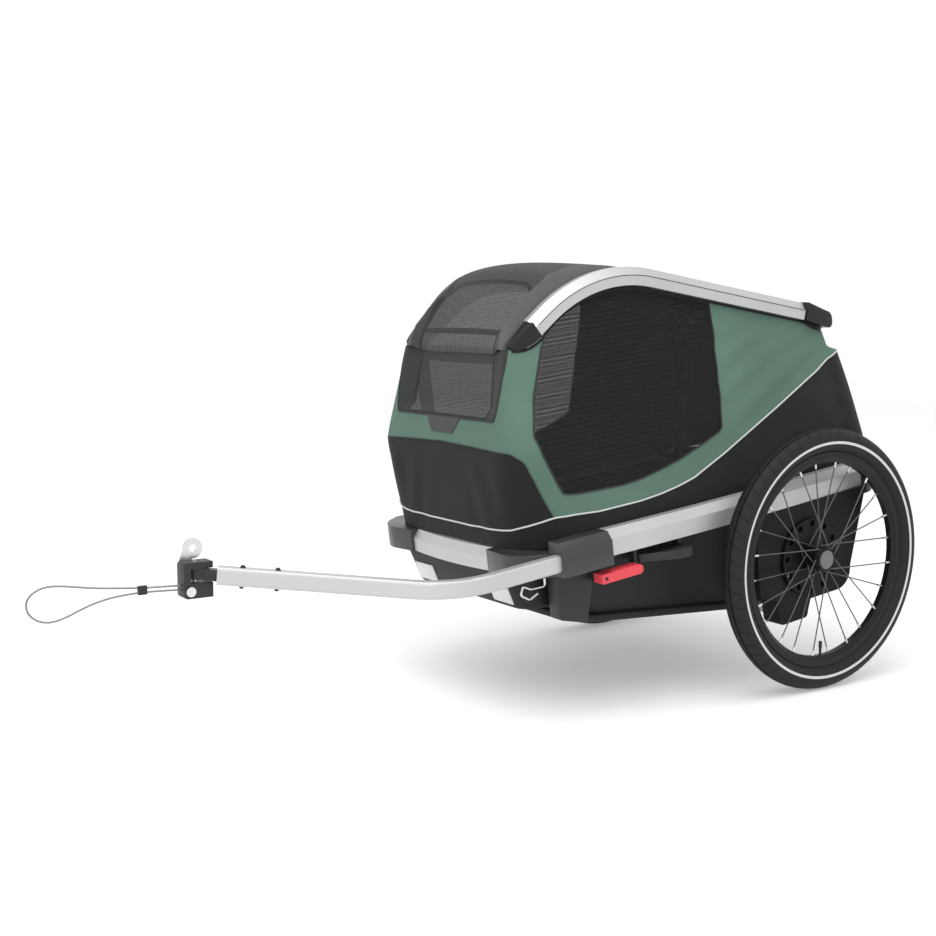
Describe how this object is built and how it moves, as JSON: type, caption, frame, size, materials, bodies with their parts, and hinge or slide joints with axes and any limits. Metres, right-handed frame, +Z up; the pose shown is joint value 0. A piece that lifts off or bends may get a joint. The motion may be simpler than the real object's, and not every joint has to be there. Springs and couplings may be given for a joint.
{
  "type": "dog bicycle trailer",
  "caption": "Two-wheeled dog trailer for a bicycle: fabric cabin with mesh windows on a bowed aluminium frame and tub, folding roof arches, offset drawbar with axle hitch and safety leash.",
  "frame": {"origin": "on the ground, midway between the back of the tyres and the nose of the coupling head, on the midplane between the wheels", "axes": "+X forward to the hitch, +Y to the trailer's left, +Z up; the cabin frame leans 7.2 degrees nose down about the axle, as it stands hitched"},
  "size_m": [1.6857, 0.712, 0.7991],
  "materials": {
    "tyre_rubber": "matt rubber with a pale reflective line",
    "tube_rubber": "matt",
    "rim_black": "black anodised",
    "spoke_steel": "black with bright nipples",
    "hub_black": "black anodised",
    "steel": "zinc plated",
    "plastic_dark": "fine grained moulding",
    "button_grey": "satin",
    "frame_aluminium": "silver anodised",
    "tub_black": "grained moulding",
    "pad_fabric": "padded cloth",
    "lever_red": "satin",
    "reflector": "prismatic",
    "link_grey": "satin",
    "cover_green": "woven polyester",
    "mesh_grey": "fine knitted mesh"
  },
  "bodies": {
    "chassis": {"axles": "steel", "side_rail_left": "frame_aluminium", "side_rail_right": "frame_aluminium", "front_rail": "frame_aluminium", "rear_rail": "frame_aluminium", "front_corner_left": "plastic_dark", "front_corner_right": "plastic_dark", "rear_corner_left": "plastic_dark", "rear_corner_right": "plastic_dark", "tub": "tub_black", "floor_pad": "pad_fabric", "wheel_housing_left": "plastic_dark", "wheel_housing_right": "plastic_dark", "axle_beam": "frame_aluminium", "lever_brackets": "plastic_dark", "front_reflectors": "reflector", "retaining_clip": "steel", "fold_brackets": "plastic_dark", "cabin_cover": "cover_green", "cabin_mesh": "mesh_grey"},
    "wheel_left": {"tyre_left": "tyre_rubber", "inner_tube_left": "tube_rubber", "rim_left": "rim_black", "spokes_left": "spoke_steel", "hub_left": "hub_black", "hub_bearings_left": "steel", "brake_ring_left": "plastic_dark"},
    "hub_button_left": {"hub_button_left": "button_grey"},
    "brake_pin_left": {"brake_pin_left": "steel"},
    "wheel_right": {"tyre_right": "tyre_rubber", "inner_tube_right": "tube_rubber", "rim_right": "rim_black", "spokes_right": "spoke_steel", "hub_right": "hub_black", "hub_bearings_right": "steel", "brake_ring_right": "plastic_dark"},
    "hub_button_right": {"hub_button_right": "button_grey"},
    "brake_pin_right": {"brake_pin_right": "steel"},
    "brake_pedal": {"brake_pedal": "plastic_dark"},
    "drawbar_release": {"drawbar_release": "lever_red"},
    "drawbar": {"drawbar": "frame_aluminium", "drawbar_tongue": "plastic_dark", "drawbar_bolts": "steel"},
    "coupling": {"coupling_head": "plastic_dark", "hitch_pins": "steel", "safety_leash": "steel", "leash_slider": "plastic_dark"},
    "axle_plate": {"axle_plate": "steel"},
    "front_lower": {"front_lower_links": "link_grey"},
    "front_upper": {"front_upper_links": "link_grey", "front_cross_bar": "frame_aluminium"},
    "rear_lower": {"rear_lower_links": "link_grey"},
    "rear_upper": {"rear_upper_links": "link_grey", "rear_cross_bar": "frame_aluminium"},
    "roof": {"arch_left": "frame_aluminium", "arch_right": "frame_aluminium", "arch_ends": "plastic_dark", "roof_cover": "cover_green", "roof_mesh": "mesh_grey"}
  },
  "joints": [
    {"name": "wheel_left", "type": "hinge", "parent": "chassis", "child": "wheel_left", "pos_m": [-0.4695, 0.333, 0.25], "axis": [0, 1, 0], "continuous": true},
    {"name": "hub_button_left", "type": "slide", "parent": "chassis", "child": "hub_button_left", "axis": [0, -1, 0], "range_m": [0, 0.004], "stiffness_N_per_m": 800, "springref_m": -0.004},
    {"name": "wheel_right", "type": "hinge", "parent": "chassis", "child": "wheel_right", "pos_m": [-0.4695, -0.333, 0.25], "axis": [0, 1, 0], "continuous": true},
    {"name": "hub_button_right", "type": "slide", "parent": "chassis", "child": "hub_button_right", "axis": [0, 1, 0], "range_m": [0, 0.004], "stiffness_N_per_m": 800, "springref_m": -0.004},
    {"name": "brake_pedal", "type": "hinge", "parent": "chassis", "child": "brake_pedal", "pos_m": [-0.11215, 0.26, 0.28849], "axis": [-0.9921, 0, 0.1253], "range_deg": [0, 20]},
    {"name": "brake_pin_left", "type": "slide", "parent": "chassis", "child": "brake_pin_left", "axis": [0, 1, 0], "range_m": [0, 0.006]},
    {"name": "brake_pin_right", "type": "slide", "parent": "chassis", "child": "brake_pin_right", "axis": [0, -1, 0], "range_m": [0, 0.006]},
    {"name": "drawbar_release", "type": "hinge", "parent": "chassis", "child": "drawbar_release", "pos_m": [0.02673, 0.283, 0.25885], "axis": [0, -1, 0], "range_deg": [0, 28], "stiffness_Nm_per_rad": 1, "springref_deg": -17.19},
    {"name": "drawbar_pull", "type": "slide", "parent": "chassis", "child": "drawbar", "axis": [0.9921, 0, -0.1253], "range_m": [0, 0.08]},
    {"name": "hitch_yaw", "type": "hinge", "parent": "drawbar", "child": "coupling", "pos_m": [0.6955, 0.08, 0.305], "axis": [0, 0, 1], "range_deg": [-60, 60]},
    {"name": "hitch_pitch", "type": "hinge", "parent": "coupling", "child": "axle_plate", "pos_m": [0.7095, 0.08, 0.279], "axis": [0, 1, 0], "range_deg": [-15, 15]},
    {"name": "fold", "type": "hinge", "parent": "chassis", "child": "front_lower", "pos_m": [0.08788, 0, 0.35595], "axis": [0, -1, 0], "range_deg": [0, 82], "deforming": ["cabin_cover", "cabin_mesh"]},
    {"name": "front_knee", "type": "hinge", "parent": "front_lower", "child": "front_upper", "pos_m": [0.10543, 0, 0.49485], "axis": [0, 1, 0], "range_deg": [0, 164]},
    {"name": "roof_front", "type": "hinge", "parent": "front_upper", "child": "roof", "pos_m": [0.12297, 0, 0.63374], "axis": [0, -1, 0], "range_deg": [0, 82]},
    {"name": "rear_pillar", "type": "hinge", "parent": "chassis", "child": "rear_lower", "pos_m": [-0.5873, 0, 0.40496], "axis": [0, 1, 0], "range_deg": [0, 82]},
    {"name": "rear_knee", "type": "hinge", "parent": "rear_lower", "child": "rear_upper", "pos_m": [-0.56975, 0, 0.54386], "axis": [0, -1, 0], "range_deg": [0, 164]}
  ],
  "couplings": [
    {"joint": "brake_pin_left", "follows": "brake_pedal", "m_per_rad": 0.017172},
    {"joint": "brake_pin_right", "follows": "brake_pedal", "m_per_rad": 0.017172},
    {"joint": "front_knee", "follows": "fold", "ratio": 2},
    {"joint": "roof_front", "follows": "fold", "ratio": 1},
    {"joint": "rear_pillar", "follows": "fold", "ratio": 1},
    {"joint": "rear_knee", "follows": "fold", "ratio": 2}
  ]
}
